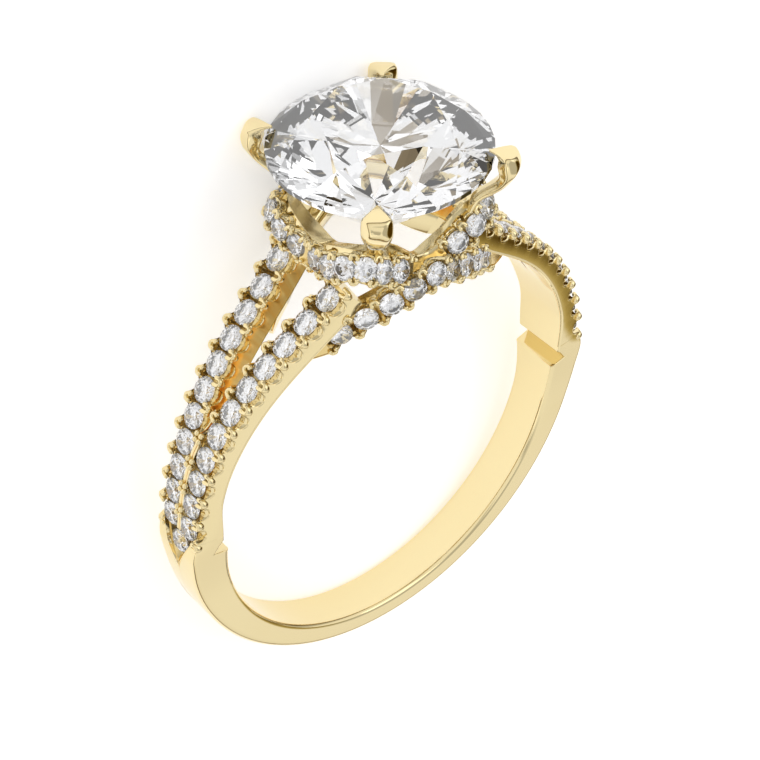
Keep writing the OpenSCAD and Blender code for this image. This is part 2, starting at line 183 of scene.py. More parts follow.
def ease(v, a, b):
    """0 before a, 1 after b and a smooth rise between them."""
    s = min(max((v - a) / (b - a), 0.0), 1.0)
    return s * s * (3 - 2 * s)


def row_s(t):
    return (t - ROW_LOW) / (ROW_HIGH - ROW_LOW)


def row_radius(t):
    return ROW_R + ROW_RISE * row_s(t) + ROW_FLARE * max(row_s(t), 0) ** 8


def row_y(t):
    if t > ROW_LOW:
        return ROW_Y + ROW_SPREAD * row_s(t) ** 1.8
    return ROW_Y - ROW_CLOSE * (min(ROW_LOW - t, 12) / 12) ** 1.5


def arm_point(t):
    return Vector((row_radius(t) * math.cos(rad(t)), row_y(t), row_radius(t) * math.sin(rad(t))))


def arm_axes(t):
    """Across an arm and out of it, both square to its run."""
    along = (arm_point(t + 0.2) - arm_point(t - 0.2)).normalized()
    y = Vector((0, 1, 0))
    across = (y - along * y.dot(along)).normalized()
    return across, across.cross(along)


shares = [k / (ROW_STONES - 1) for k in range(ROW_STONES)]
STONE_T = [ROW_LOW + (ROW_HIGH - ROW_LOW) * f + STEP_CHANGE * f * (1 - f) for f in shares]


def band_radius(t):
    return BAND_RAISE * math.sin(rad(t)) + math.sqrt(BAND_R ** 2 - (BAND_RAISE * math.cos(rad(t))) ** 2)


def finger_side(t):
    if t <= LEDGE[0][0]:
        return HOLE_R
    for (a, p), (b, q) in zip(LEDGE, LEDGE[1:]):
        if t <= b:
            return p + (q - p) * (t - a) / (b - a)

    def plain(u):
        """The arms' finger side, at one depth under the rows from 30 degrees on."""
        return row_radius(u) - RIM_DROP - ARM_DEPTH - 0.12 * (1 - min(u / 30, 1))
    end_t, end_r = LEDGE[-1]
    return plain(t) + (end_r - plain(end_t)) * (1 - ease(t, end_t, 20))


def scallop(w, half, hold):
    """1 in the middle of a scallop's round cut, 0 outside it, w along the wall from the stone."""
    return hold * math.sqrt(max(0.0, 1 - (w / half) ** 2))


def wall_bow(t, depth):
    """How far an arm's outer wall curves in, depth under its outer edge."""
    return BOW * (max(1.0 - depth, 0.0) / BOW_HEIGHT) ** 2 * ease(t, 4, 14)


def hoop_ring(t):
    """Half a section of the hoop, from the finger side round the outside to the slot or middle plane."""
    arm = t > SPLIT_T - 1
    across, out = arm_axes(max(t, -3.0))
    base = arm_point(t)
    radial = Vector((math.cos(rad(t)), 0, math.sin(rad(t))))
    row = row_y(t)
    nearest = min(STONE_T, key=lambda stone_t: abs(stone_t - t))
    from_stone = (t - nearest) * rad(1) * row_radius(t)
    low, top = finger_side(t), row_radius(t) - RIM_DROP
    if t < SPLIT_T:
        top = band_radius(t) + (top - band_radius(t)) * ease(t, 2, SPLIT_T)
    wide = BAND_W / 2 + (ROW_Y + ARM_HALF - BAND_W / 2) * ease(t, -14, 14) + max(row - ROW_Y, 0.0)
    edge = EDGE_BAND + (EDGE_ARM - EDGE_BAND) * ease(t, -4, 8)
    comfort = COMFORT_BAND + (COMFORT_ARM - COMFORT_BAND) * ease(t, 0.9, 2.4)

    # the channel: open from the V's tip to the end of the row, with a bridge in each gap
    row_ends = 1 - ease(t, ROW_END, ROW_END + 0.6)
    hold = ease(t, 8.0, 9.2) * row_ends
    scooped = scallop(from_stone, SCALLOP_HALF, hold)
    cut = SCALLOP_DEPTH * scooped
    notch = NOTCH_DEPTH * max(0.0, 1 - abs(from_stone) / NOTCH_HALF) * hold
    bridge = ease(abs(from_stone), 0.50, 0.58) * hold
    open_row = min(max((t - V_FROM) / V_SPAN, 0), 1) * row_ends
    seat = -SEAT_DEPTH * open_row * (1 - 0.6 * bridge)
    floor = -CHANNEL_DEPTH * open_row + BRIDGE_H * bridge
    rim_y = min(wide - RIM_W, max((t - V_FROM) * V_WIDENS, 0.0))
    slot_half = min(ARM_SLOT_HALF, row + 0.005) if t < 45 else ARM_SLOT_HALF
    wall_in = row - slot_half if arm else 0.0
    rim_in = max(wall_in + RIM_W, 0.0) if arm else 0.0
    slot_open = ease(row, 0.66, 0.80)
    cut_in, notch_in = cut * slot_open, notch * slot_open
    rim_cut = 0.62 if scooped > 0.3 else 0.9
    points = []

    def put(y, r):
        if arm:
            points.append(base + across * (y - row) + out * (r - row_radius(t)))
        else:
            points.append(radial * r + Vector((0, y, 0)))

    # the finger side with its rounded edge, the outer wall and the rim's rounded edge
    put(wall_in, low)
    put(max(wide - comfort - 0.04, wall_in + 0.01), low)
    for a in (0, 30, 60, 90):
        put(wide - comfort + comfort * math.sin(rad(a)), low + comfort - comfort * math.cos(rad(a)))
    put(wide, low + comfort + 0.04)
    depth = cut + edge + 0.03
    for i, d in enumerate(BOW_AT):
        d = max(depth + 0.01 * (4 - i), d * ease(t, 0, 8))
        put(wide - wall_bow(t, d), top - d)
    for a in (0, 22.5, 45, 67.5, 90):
        put(wide - wall_bow(t, depth) - edge + edge * math.cos(rad(a)),
            top - cut - edge + edge * math.sin(rad(a)))

    # down into the channel under the stones and up again on the slot's side
    put(max(rim_y + 0.02, 0.02), top - cut)
    put(max(rim_y - 0.01, 0.015), top - cut * rim_cut - notch)
    put(max(rim_y - 0.03, 0.012), top + seat - 0.08 * scooped - notch)
    put(max(min(rim_y - 0.14, row + 0.49), 0.01), top + seat * 1.05)
    put(max(min(rim_y - 0.22, row + 0.40), 0.008), top + floor * 0.7)
    put(max(min(rim_y - 0.4, row + 0.2), 0.004), top + floor)
    if arm:
        top_in = top - cut_in
        put(row - 0.2, top + floor)
        put(max(row - 0.40, rim_in), top + floor * 0.7)
        put(min(max(row - 0.49, rim_in), row - 0.40), top + seat * 1.05)
        put(rim_in + 0.03, top + seat - 0.08 * scooped * slot_open - notch_in)
        put(rim_in + 0.01, top - cut_in * rim_cut - notch_in)
    else:
        top_in = top + floor * (1 - ease(t, 7.2, 8.0))
        for _ in range(4):
            put(0.0, top + floor)
        put(0.0, top_in)

    # the slot's wall, or the middle plane where the hoop is still one band
    put(max(rim_in - 0.02, 0.0), top_in)
    put(wall_in + (0.05 if arm else 0.0), top_in)
    put(wall_in + (0.015 if arm else 0.0), top_in - 0.015)
    put(wall_in, top_in - 0.05)
    put(wall_in, top_in + (low - top_in) * (0.55 if arm else 0.5))
    put(wall_in, low + (0.05 if arm else 0.02))
    return points


def skin(bm, rings, closed=False, slots=None):
    """Faces between rings of points; slots gives the material of each face round a ring."""
    rows = [[bm.verts.new(p) for p in ring] for ring in rings]
    n, m = len(rings[0]), len(rings)
    for j in range(m if closed else m - 1):
        a, b = rows[j], rows[(j + 1) % m]
        for i in range(n):
            face = bm.faces.new((a[i], a[(i + 1) % n], b[(i + 1) % n], b[i]))
            face.smooth = True
            face.material_index = slots[i] if slots else 0
    if not closed:
        for row in (rows[0], rows[-1]):
            bm.faces.new(row)


def mirrored_into(bm, *axes):
    """Adds a mirror image along each axis in turn."""
    for axis in axes:
        copy = bmesh.ops.duplicate(bm, geom=bm.verts[:] + bm.edges[:] + bm.faces[:])["geom"]
        verts = [e for e in copy if isinstance(e, bmesh.types.BMVert)]
        bmesh.ops.scale(bm, vec=[-1 if i == axis else 1 for i in range(3)], verts=verts)


def piece(name, bm, materials, node=None, sharp=30.0):
    """A mesh laid on the floor with its materials; it takes the place of the CAD's node, if one is given."""
    bmesh.ops.recalc_face_normals(bm, faces=bm.faces)
    mesh = bpy.data.meshes.new(name)
    bm.to_mesh(mesh)
    bm.free()
    mesh.transform(LIE)
    mesh.set_sharp_from_angle(angle=rad(sharp))
    for m in materials:
        mesh.materials.append(m)
    o = bpy.data.objects.new(name, mesh)
    bpy.context.collection.objects.link(o)
    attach(o, "root")
    if node:
        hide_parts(node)


stations = [-90 + 2.5 * k for k in range(32)] + [-10 + 0.5 * k for k in range(20)]
# close together at the ledge and where the channel and the slot begin
stations += [0.0, 0.5, 0.9, 1.2, 1.49, 1.51, 1.8, 2.1, 2.45, 2.5, 3.1, 3.7, 4.3, 4.96, 5.0, 5.6, 6.28, 6.32]
stations += [6.9, 7.4, 7.8, 8.0, 8.01]
stations += [8.2 + 0.25 * k for k in range(262)]
SEAT_FACES, SLOT_FACES = range(19, 26), range(30, 33)
MERGE = 0.00005
bm = bmesh.new()
rings = [hoop_ring(t) for t in stations]
slots = [2 if i in SEAT_FACES else 1 if i in SLOT_FACES else 0 for i in range(len(rings[0]))]
skin(bm, rings, slots=slots)
bmesh.ops.remove_doubles(bm, verts=bm.verts, dist=MERGE)
bmesh.ops.dissolve_degenerate(bm, edges=bm.edges, dist=MERGE)
mirrored_into(bm, 0, 1)
piece("hoop_and_arms", bm, [polished, brushed_with_painted_reflection, seat_gold_painted_shade], "mount")

# The shoulder stones: two rows of eleven round brilliants on each shoulder and one at the
# tip of the V, each pushed into the channel so that its table stands just proud of it.
SHOULDER_STONE_D, SET_DEPTH = 1.05, 0.08
DIAMOND_IOR, TINT_FINENESS = 2.417, 900


def brilliant(d, table=0.57, crown=0.15, pavilion=0.43, girdle=0.022):
    """Table, 8 stars, 8 kites, 16 upper and 16 lower halves and 8 mains, centred on its girdle.
    Each half is two flat faces, with a slight ridge between them."""
    r, t = d / 2, d * girdle
    table_r, low_r = r * table, r * 0.25
    star_r = (table_r * math.cos(rad(22.5)) + r) / 2
    star_z = t / 2 + crown * d * (r - star_r * math.cos(rad(22.5))) / (r - table_r)
    low_z = -t / 2 - pavilion * d * (r - low_r * math.cos(rad(22.5))) / r
    bm = bmesh.new()

    def circle(count, q, turn, z):
        angles = [rad(turn + 360 * k / count) for k in range(count)]
        return [bm.verts.new((q * math.cos(a), q * math.sin(a), z)) for a in angles]
    top, star = circle(8, table_r, 0, t / 2 + crown * d), circle(8, star_r, 22.5, star_z)
    upper, lower = circle(32, r, 0, t / 2), circle(32, r, 0, -t / 2)
    mains = circle(8, low_r, 22.5, low_z)
    culet = bm.verts.new((0, 0, -t / 2 - pavilion * d))
    bm.faces.new(top)
    for k in range(8):
        g = 4 * k
        bm.faces.new((top[k], star[k], top[(k + 1) % 8]))
        bm.faces.new((top[k], star[k - 1], upper[g], star[k]))
        bm.faces.new((culet, mains[k], lower[g], mains[k - 1]))
        for j in range(g, g + 4):
            bm.faces.new((star[k], upper[j], upper[(j + 1) % 32]))
            bm.faces.new((mains[k], lower[(j + 1) % 32], lower[j]))
            bm.faces.new((upper[j], lower[j], lower[(j + 1) % 32], upper[(j + 1) % 32]))
    return bm


def crystal(name, tint, roughness, sparkle):
    """Clear crystal; sparkle is a faint glow that stands for light bounced about in small stones."""
    m = bpy.data.materials.new(name)
    m.use_nodes = True
    nodes, link = m.node_tree.nodes, m.node_tree.links.new
    base = nodes["Principled BSDF"]
    base.inputs["Transmission Weight"].default_value = 1.0
    base.inputs["IOR"].default_value = DIAMOND_IOR
    base.inputs["Emission Color"].default_value = (1, 1, 1, 1)
    base.inputs["Emission Strength"].default_value = sparkle
    place, noise = nodes.new("ShaderNodeTexCoord"), nodes.new("ShaderNodeTexNoise")
    noise.inputs["Scale"].default_value = TINT_FINENESS
    link(place.outputs["Object"], noise.inputs["Vector"])
    colour = nodes.new("ShaderNodeMix")
    colour.data_type = "RGBA"
    colour.inputs[6].default_value = (1, 1, 1, 1)
    colour.inputs[7].default_value = tint
    link(noise.outputs["Fac"], colour.inputs["Factor"])
    link(colour.outputs[2], base.inputs["Base Color"])
    rough = nodes.new("ShaderNodeMath")
    rough.operation = "MULTIPLY"
    rough.inputs[1].default_value = roughness
    link(noise.outputs["Fac"], rough.inputs[0])
    link(rough.outputs[0], base.inputs["Roughness"])
    return m


small_crystal = crystal("small_crystal", (0.90, 0.91, 0.95, 1), 0.01, 0.014)

# sets one piece at each point of a mesh, its X along the point's across and Z along its out
set_in_row = bpy.data.node_groups.new("Set in a row", "GeometryNodeTree")
for title, kind in (
        ("Places", "NodeSocketGeometry"),
        ("Piece", "NodeSocketObject"),
        ("Finish", "NodeSocketMaterial"),
        ("Size", "NodeSocketFloat")):
    set_in_row.interface.new_socket(title, in_out="INPUT", socket_type=kind)
set_in_row.interface.new_socket("Pieces", in_out="OUTPUT", socket_type="NodeSocketGeometry")
nodes, link = set_in_row.nodes, set_in_row.links.new
given, result = nodes.new("NodeGroupInput"), nodes.new("NodeGroupOutput")
points = nodes.new("GeometryNodeMeshToPoints")
link(given.outputs["Places"], points.inputs["Mesh"])
turn = nodes.new("FunctionNodeAxesToRotation")
turn.primary_axis, turn.secondary_axis = "Z", "X"
for i, title in enumerate(("out", "across")):
    axis = nodes.new("GeometryNodeInputNamedAttribute")
    axis.data_type = "FLOAT_VECTOR"
    axis.inputs["Name"].default_value = title
    link(axis.outputs["Attribute"], turn.inputs[i])
source = nodes.new("GeometryNodeObjectInfo")
link(given.outputs["Piece"], source.inputs["Object"])
placed = nodes.new("GeometryNodeInstanceOnPoints")
link(points.outputs["Points"], placed.inputs["Points"])
link(source.outputs["Geometry"], placed.inputs["Instance"])
link(turn.outputs["Rotation"], placed.inputs["Rotation"])
link(given.outputs["Size"], placed.inputs["Scale"])
real = nodes.new("GeometryNodeRealizeInstances")
link(placed.outputs["Instances"], real.inputs["Geometry"])
finish = nodes.new("GeometryNodeSetMaterial")
link(real.outputs["Geometry"], finish.inputs["Geometry"])
link(given.outputs["Finish"], finish.inputs["Material"])
link(finish.outputs["Geometry"], result.inputs["Pieces"])


def loose(name, bm):
    """A piece in its own axes that the row tree copies; it is never in the scene itself."""
    mesh = bpy.data.meshes.new(name)
    bmesh.ops.recalc_face_normals(bm, faces=bm.faces)
    bm.to_mesh(mesh)
    bm.free()
    return bpy.data.objects.new(name, mesh)


def in_a_row(name, source, places, material, node=None, size=1.0):
    """Copies of source at places, each a point, an across axis and an out axis."""
    mesh = bpy.data.meshes.new(name)
    mesh.from_pydata([p for p, a, u in places], [], [])
    for key, which in (("across", 1), ("out", 2)):
        axis = mesh.attributes.new(key, "FLOAT_VECTOR", "POINT")
        for k, spot in enumerate(places):
            axis.data[k].vector = spot[which]
    o = bpy.data.objects.new(name, mesh)
    bpy.context.collection.objects.link(o)
    row = o.modifiers.new("Set", "NODES")
    row.node_group = set_in_row
    values = {"Piece": source, "Finish": material, "Size": size}
    for item in set_in_row.interface.items_tree:
        if item.in_out == "INPUT" and item.name in values:
            row[item.identifier] = values[item.name]
    made = bpy.data.meshes.new_from_object(o.evaluated_get(bpy.context.evaluated_depsgraph_get()))
    o.modifiers.remove(row)
    made.transform(LIE)
    o.data = made
    bpy.data.meshes.remove(mesh)
    made.name = name
    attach(o, "root")
    if node:
        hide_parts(node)


def reflected(places, sx=1, sy=1):
    def flip(v):
        return Vector((v[0] * sx, v[1] * sy, v[2]))
    return [(flip(p), flip(a), flip(u)) for p, a, u in places]


def four_ways(places):
    return [p for sx in (-1, 1) for sy in (-1, 1) for p in reflected(places, sx, sy)]


def arm_place(t, lift=0.0, shift=0.0, side=1):
    across, out = arm_axes(t)
    return arm_point(t) + out * lift + across * shift, across * side, out


small_cut = loose("small_cut", brilliant(1.0, crown=0.14, pavilion=0.42, girdle=0.03))
row_places = [arm_place(t, -SET_DEPTH) for t in STONE_T]
tip_out = Vector((math.cos(rad(TIP_T)), 0, math.sin(rad(TIP_T))))
tip_place = (tip_out * (row_radius(TIP_T) - SET_DEPTH), Vector((0, 1, 0)), tip_out)
for side, sx in (("left", -1), ("right", 1)):
    places = reflected(row_places, sx) + reflected(row_places, sx, -1) + reflected([tip_place], sx)
    in_a_row(side + "_shoulder_brilliants", small_cut, places, small_crystal,
             side + "_shoulder_stones", SHOULDER_STONE_D)

# The prongs: gold cut up from the channel's walls. In each gap between two stones a bent
# bead lies over the wall, its two ends turned to the stones. Where the two arms still
# touch, a pair of round beads stands between the rows instead.
PRONG_SINK, OUTER_PRONG, INNER_PRONG = 0.02, 0.41, 0.37
SLOT_FROM, BEAD_R, BEAD_LINE = 0.78, 0.13, 0.12
BEFORE_FIRST, AFTER_LAST = 3.1, 2.75


def bent_prong(name, half_gap, reach, thick, ends):
    """A round-ended horseshoe of gold, open towards the row, that bends down over the wall."""
    path = [(-0.03, half_gap * 0.95, 0.4), (0.0, half_gap, 0.85), (0.06, half_gap, 1.0),
            (0.38 * reach, half_gap, 0.95), (0.62 * reach, half_gap * 0.93, 0.9),
            (0.84 * reach, half_gap * 0.66, 0.95), (0.96 * reach, half_gap * 0.3, 1.0)]
    path += [(x, -y, s) for x, y, s in reversed(path)]
    bm = bmesh.new()
    rings = []
    for i, (x, y, thickness) in enumerate(path):
        a, b = path[max(i - 1, 0)], path[min(i + 1, len(path) - 1)]
        along = Vector((b[0] - a[0], b[1] - a[1], 0)).normalized()
        side = Vector((along.y, -along.x, 0))
        middle = Vector((x, y, ends * (1 - 0.6 * x / reach) - 0.10 * (x / reach) ** 2))
        wide, tall = thick * thickness, thick * thickness * (1 + 0.9 * max(x / reach, 0) ** 2)
        turns = [rad(45 * j) for j in range(8)]
        rings.append([middle + side * wide * math.cos(a) + Vector((0, 0, tall * math.sin(a))) for a in turns])
    skin(bm, rings)
    return loose(name, bm)


shoulder_prong = bent_prong("shoulder_prong", 0.135, 0.31, 0.105, 0.06)
gaps = [(a + b) / 2 for a, b in zip(STONE_T, STONE_T[1:])]
gaps = [STONE_T[0] - BEFORE_FIRST] + gaps + [STONE_T[-1] + AFTER_LAST]
prongs = [arm_place(t, -PRONG_SINK, OUTER_PRONG) for t in gaps]
prongs += [arm_place(t, -PRONG_SINK, -INNER_PRONG, -1) for t in gaps if row_y(t) > SLOT_FROM]
in_a_row("arm_prongs", shoulder_prong, four_ways(prongs), polished)
bm = bmesh.new()
for s in (-1, 1):
    bead = bmesh.ops.create_icosphere(bm, subdivisions=2, radius=BEAD_R)
    bmesh.ops.translate(bm, vec=(0.0, s * BEAD_R, 0.0), verts=bead["verts"])
for face in bm.faces:
    face.smooth = True
bead_pair = loose("bead_pair", bm)
beads = [arm_place(t, PRONG_SINK, BEAD_LINE - row_y(t), -1) for t in gaps[1:] if row_y(t) < SLOT_FROM]
in_a_row("middle_beads", bead_pair, four_ways(beads), polished)

# The collar: a wavy loop of gold under the main stone, cast with the hoop. It has a set
# channel outside, a groove behind the scalloped upper rim, and a smooth inner band of four
# petals that meet in folds over the shoulders and over the arches.
COLLAR_STONE_D, COLLAR_SET_DEPTH = 0.95, 0.06
# x, y, z and the face's upward tilt at nine places in a quarter of the loop; 1 to 6 carry a stone
COLLAR = [(3.60, 0.00, 12.00, 8), (3.70, 0.55, 12.10, 8), (3.80, 1.48, 12.36, 12), (3.62, 2.28, 12.72, 22),
          (3.02, 2.86, 12.72, 26), (2.25, 3.10, 12.36, 22), (1.38, 3.05, 11.92, 18), (0.46, 2.98, 11.50, 15),
          (0.00, 2.94, 11.40, 15)]
CLAW_AZIMUTH = 49.6
# radius and height of the inner band's groove edge and top edge, at a fold and under a claw
SHOULDER_FOLD = (3.13, 12.05, 2.24, 12.04)
PETAL = (3.58, 13.17, 3.36, 13.30)
ARCH_FOLD = (2.54, 11.65, 2.00, 11.61)
# how steeply each of the four rises from its fold to the claw
SHOULDER_BEND = (1.3, 0.6, 2.5, 2.0)
ARCH_BEND = (2.0, 1.0, 2.5, 2.0)
COLLAR_CUT_HALF, COLLAR_CUT_DEPTH = 0.30, 0.24
# the places that carry no stone, of the sixteen in each half of the loop
PLAIN_PLACES = (0, 7, 8, 9)
UPPER_LINE, LOWER_LINE = 0.36, 0.37
# steps from stone to stone, and the faces that are the inner band and the seats
COLLAR_STEPS = 14
BAND_FACES, COLLAR_SEAT_FACES = range(8, 14), range(24, 29)


def curve(a, b, c, d, f):
    """The smooth curve through a, b, c and d, f of the way from b to c."""
    slope = [(r - p) / 2 for p, r in zip(a, c)]
    bend = [p - 2.5 * q + 2 * r - 0.5 * s for p, q, r, s in zip(a, b, c, d)]
    twist = [-0.5 * p + 1.5 * q - 1.5 * r + 0.5 * s for p, q, r, s in zip(a, b, c, d)]
    return [q + f * (m + f * (n + f * o)) for q, m, n, o in zip(b, slope, bend, twist)]


def collar_row(i):
    q, k = divmod(i % 32, 8)
    x, y, z, tilt = COLLAR[k] if q in (0, 2) else COLLAR[8 - k]
    return x * (1, -1, -1, 1)[q], y * (1, 1, -1, -1)[q], z, tilt


def collar_at(v):
    i = math.floor(v)
    return curve(collar_row(i - 1), collar_row(i), collar_row(i + 1), collar_row(i + 2), v - i)


def collar_axes(v):
    along = (Vector(collar_at(v + 0.1)[:3]) - Vector(collar_at(v - 0.1)[:3])).normalized()
    tilt = rad(collar_at(v)[3])
    level = Vector((along.y, -along.x, 0)).normalized()
    out = math.cos(tilt) * level + math.sin(tilt) * Vector((0, 0, 1))
    out = (out - along * out.dot(along)).normalized()
    return out.cross(along), out


def petal(x, y):
    """The inner band's groove edge and top edge in the direction of x and y, and how far it has risen."""
    azimuth = math.degrees(math.atan2(abs(y), abs(x)))
    shoulder = azimuth < CLAW_AZIMUTH
    share = azimuth / CLAW_AZIMUTH if shoulder else (90 - azimuth) / (90 - CLAW_AZIMUTH)
    rise = math.sin(rad(90 * share))
    low_rise = rise if shoulder else share
    fold, bends = (SHOULDER_FOLD, SHOULDER_BEND) if shoulder else (ARCH_FOLD, ARCH_BEND)
    ray = Vector((x, y, 0)).normalized()
    rises = (low_rise, low_rise, rise, rise)
    radius, height, top_radius, top_height = [
        a + (b - a) * r ** bend for a, b, r, bend in zip(fold, PETAL, rises, bends)]
    return ray * radius + Vector((0, 0, height)), ray * top_radius + Vector((0, 0, top_height)), rise


def collar_ring(v):
    """A section of the collar: its scalloped rim, the groove and inner band, and the set channel."""
    at = Vector(collar_at(v)[:3])
    up, out = collar_axes(v)
    step = (Vector(collar_at(round(v) + 0.5)[:3]) - Vector(collar_at(round(v) - 0.5)[:3])).length
    deep = 0.0 if round(v) % 16 in PLAIN_PLACES else 1.0
    cut = COLLAR_CUT_DEPTH * scallop((v - round(v)) * step, COLLAR_CUT_HALF, deep)
    groove_edge, top_edge, rise = petal(at.x, at.y)
    high = 0.60 - 0.06 * rise
    rim = [(0.46, -0.02 - 0.7 * cut), (0.485, -cut), (high - 0.05, -cut), (high - 0.015, -cut - 0.02),
           (high, -cut - 0.06), (high - 0.015, -cut - 0.11), (high - 0.06, -cut - 0.14)]
    width = top_edge - groove_edge
    slope = width.normalized()
    lift = out.cross(up).cross(slope).normalized()
    lift = lift if lift.z > 0 else -lift
    inside = at + up * rim[-1][0] + out * rim[-1][1]
    floor = inside.lerp(groove_edge, 0.5) + out.cross(up).cross(groove_edge - inside) * 0.35
    band = [floor,
            groove_edge - slope * 0.02 - lift * 0.05,
            groove_edge,
            groove_edge + slope * 0.05 + lift * 0.012,
            groove_edge + width * 0.5,
            top_edge - slope * 0.06 + lift * 0.005,
            top_edge - lift * 0.01,
            top_edge + slope * 0.04 - lift * 0.05,
            top_edge + slope * 0.03 - lift * 0.22,
            groove_edge + width * 0.2 - lift * 0.34]
    ledge, bottom = -0.02 - 0.20 * deep, -0.02 - 0.48 * deep
    body = [(-0.52, -0.64), (-0.60, -0.56), (-0.62, -0.40), (-0.60, -0.12 - cut), (-0.56, -cut),
            (-0.50, -cut), (-0.48, -0.02 - cut), (-0.47, -0.02 - 0.18 * deep), (-0.36, ledge),
            (-0.2, bottom), (0.2, bottom), (0.36, ledge), (0.45, -0.02 - 0.18 * deep)]
    return [at + up * p + out * q for p, q in rim] + band + [at + up * p + out * q for p, q in body]


def collar_place(v, lift=0.0, shift=0.0, side=1):
    up, out = collar_axes(v)
    return Vector(collar_at(v)[:3]) + out * lift + up * shift, up * side, out


bm = bmesh.new()
rings = [collar_ring(k / COLLAR_STEPS) for k in range(32 * COLLAR_STEPS)]
slots = [1 if i in BAND_FACES else 2 if i in COLLAR_SEAT_FACES else 0 for i in range(len(rings[0]))]
skin(bm, rings, True, slots)
piece("collar_band", bm, [polished, satin, seat_gold_painted_shade])
collar_stones = [collar_place(v, -COLLAR_SET_DEPTH) for v in range(1, 7)]
in_a_row("collar_brilliants", small_cut, four_ways(collar_stones), small_crystal,
         "collar_stones", COLLAR_STONE_D)
upper_prong = bent_prong("upper_prong", 0.125, 0.21, 0.10, 0.05)
upper = [collar_place(v + 0.5, -PRONG_SINK, UPPER_LINE) for v in range(0, 7)]
in_a_row("collar_upper_prongs", upper_prong, four_ways(upper), polished)
lower = [collar_place(v + 0.5, -PRONG_SINK, -LOWER_LINE, -1) for v in range(0, 7)]
in_a_row("collar_lower_prongs", upper_prong, four_ways(lower), polished)

# The arches: one in front and one behind, cast with the rest. Each hangs under the collar
# with nine stones and runs down into the arms in plain narrowing feet.
ARCH_STONE_D, ARCH_STEP, ARCH_HALF = 0.97, 1.02, 0.6
ARCH_CUT_HALF, ARCH_CUT_DEPTH = 0.31, 0.34
ARCH_STEPS, ARCH_SEAT_FACES = 14, range(14, 19)
# x, y, z and tilt at each stone's place in half an arch, then down its foot
ARCH = [(0.00, 3.50, 11.36, 18), (0.98, 3.36, 11.00, 18), (1.90, 3.08, 10.56, 20), (2.84, 2.70, 10.08, 20),
        (3.70, 2.20, 9.46, 20), (4.60, 1.75, 8.92, 20), (5.35, 1.35, 8.50, 20)]


def arch_row(i):
    x, y, z, tilt = ARCH[min(abs(i), 6)]
    return -x if i < 0 else x, y, z, tilt


def arch_at(v):
    i = math.floor(v)
    return curve(arch_row(i - 1), arch_row(i), arch_row(i + 1), arch_row(i + 2), v - i)


def arch_axes(v):
    along = (Vector(arch_at(v + 0.1)[:3]) - Vector(arch_at(v - 0.1)[:3])).normalized()
    tilt = rad(arch_at(v)[3])
    out = Vector((0, math.cos(tilt), math.sin(tilt)))
    out = (out - along * out.dot(along)).normalized()
    return along.cross(out), out


def arch_ring(v):
    """A section of an arch: its back, its scalloped walls and the set channel between them."""
    at = Vector(arch_at(v)[:3])
    up, out = arch_axes(v)
    hold = 1 - ease(abs(v), 4.42, 4.55)
    cut = ARCH_CUT_DEPTH * scallop((v - round(v)) * ARCH_STEP, ARCH_CUT_HALF, hold)
    s = 1 - 0.5 * max(abs(v) - 4.5, 0)
    h = ARCH_HALF * s
    shelf, seat, bottom = -0.2 * hold - 0.03, -0.22 * hold - 0.03, -0.5 * hold - 0.03
    half = [(h, -0.10 * s - cut), (h, -0.55), (h, -0.80), (h - 0.05 * s, -0.88), (h - 0.12 * s, -0.92)]
    wall = [(0.03 * s - h, -0.03 - cut), (0.07 * s - h, -cut), (0.11 * s - h, -cut),
            (0.13 * s - h, -0.03 - 0.7 * cut), (0.14 * s - h, shelf), (0.26 * s - h, seat),
            (-0.2 * s, bottom)]
    section = half + [(-p, q) for p, q in reversed(half)] + wall + [(-p, q) for p, q in reversed(wall)]
    return [at + up * p + out * q for p, q in section]


def arch_place(v, lift=0.0, shift=0.0, side=1):
    up, out = arch_axes(v)
    return Vector(arch_at(v)[:3]) + out * lift + up * shift, up * side, out


bm = bmesh.new()
rings = [arch_ring(k / ARCH_STEPS - 6) for k in range(12 * ARCH_STEPS + 1)]
slots = [1 if i in ARCH_SEAT_FACES else 0 for i in range(len(rings[0]))]
skin(bm, rings, slots=slots)
mirrored_into(bm, 1)
piece("arches", bm, [polished, seat_gold_painted_shade])
back_stones = [arch_place(v, -SET_DEPTH) for v in range(-4, 5)]
for side, stones in (("front", reflected(back_stones, 1, -1)), ("back", back_stones)):
    in_a_row(side + "_arch_brilliants", small_cut, stones, small_crystal,
             side + "_arch_stones", ARCH_STONE_D)
prongs = [arch_place(v - 4.5, -PRONG_SINK, UPPER_LINE) for v in range(0, 10)]
prongs += [arch_place(v - 4.5, -PRONG_SINK, -UPPER_LINE, -1) for v in range(0, 10)]
in_a_row("arch_prongs", upper_prong, prongs + reflected(prongs, 1, -1), polished)

# The claws: four claws cast with the collar, which rise from its petals, lean out past the
# main stone and bend over its edge in a pointed tip. Their edges are filed round and polished.
# outer radius and height, inner radius and height, half width, half width of the outer facet
CLAW = [(3.62, 12.95, 3.40, 13.05, 0.44, 0.34), (3.84, 13.36, 3.50, 13.46, 0.42, 0.30),
        (4.02, 13.58, 3.78, 13.80, 0.40, 0.26), (4.36, 13.82, 4.12, 14.10, 0.40, 0.24),
        (4.79, 14.20, 4.44, 14.42, 0.46, 0.26), (5.12, 14.68, 4.56, 14.72, 0.56, 0.36),
        (5.28, 15.00, 4.52, 15.00, 0.62, 0.42), (5.35, 15.29, 4.48, 15.18, 0.64, 0.29),
        (5.22, 15.62, 4.50, 15.38, 0.62, 0.36), (5.00, 15.73, 4.50, 15.50, 0.54, 0.48),
        (4.60, 15.78, 4.38, 15.62, 0.29, 0.26), (4.14, 15.74, 4.12, 15.66, 0.04, 0.03)]
# how far along its sides each edge is rounded, and the steps round an edge and between rows
EDGE_SHARE, EDGE_STEPS, ROW_STEPS = 0.32, 4, 4
MIDDLE_SHARE, INNER_SHARE, CLAW_SHARP = 0.45, 0.6, 60.0


